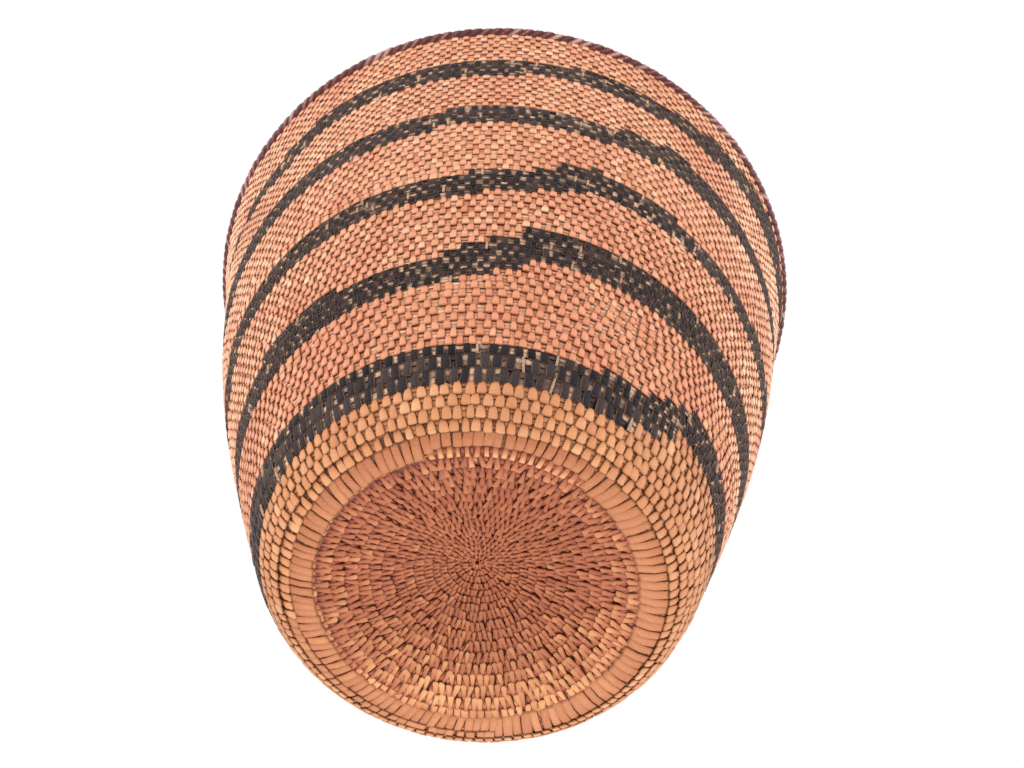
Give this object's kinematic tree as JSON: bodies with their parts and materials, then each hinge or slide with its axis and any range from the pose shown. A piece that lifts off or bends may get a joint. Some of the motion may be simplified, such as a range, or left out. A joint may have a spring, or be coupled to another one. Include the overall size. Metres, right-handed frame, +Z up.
{
  "type": "lidded coiled basket",
  "caption": "Round flared basket of finely stitched coil with dark bands, a recessed base, a lashed rim, and a shallow domed lid with a coiled knob that lifts out of the mouth.",
  "frame": {"origin": "on the floor under the middle of the base", "axes": "+Z up along the basket's axis from the base to the mouth; X and Y are alike"},
  "size_m": [0.2366, 0.2366, 0.2188],
  "materials": {
    "natural_splint": "split plant fibre, undyed orange-tan, stitched over a coil, dry and slightly glossy",
    "base_splint": "split plant fibre, redder brown, worn on the base",
    "dyed_splint": "split plant fibre dyed charcoal, with paler worn streaks",
    "maroon_lashing": "dark maroon splint wrapped slantwise over the edge rod"
  },
  "bodies": {
    "basket": {"base_start_coil": "base_splint", "base_coil": "base_splint", "standing_turn": "natural_splint", "dark_stripe_1": "dyed_splint", "plain_courses_1": "natural_splint", "dark_stripe_2": "dyed_splint", "plain_courses_2": "natural_splint", "dark_stripe_3": "dyed_splint", "plain_courses_3": "natural_splint", "dark_stripe_4": "dyed_splint", "plain_courses_4": "natural_splint", "dark_stripe_5": "dyed_splint", "plain_courses_5": "natural_splint", "rim_lashing": "maroon_lashing"},
    "lid": {"lid_centre_coil": "natural_splint", "lid_dark_ring": "dyed_splint", "lid_outer_coil": "natural_splint", "lid_rim_lashing": "maroon_lashing", "lid_knob_stem": "natural_splint", "lid_knob_cap": "maroon_lashing"}
  },
  "joints": [
    {"name": "lid_lift", "type": "slide", "parent": "basket", "child": "lid", "axis": [0, 0, 1], "range_m": [0, 0.15]}
  ]
}
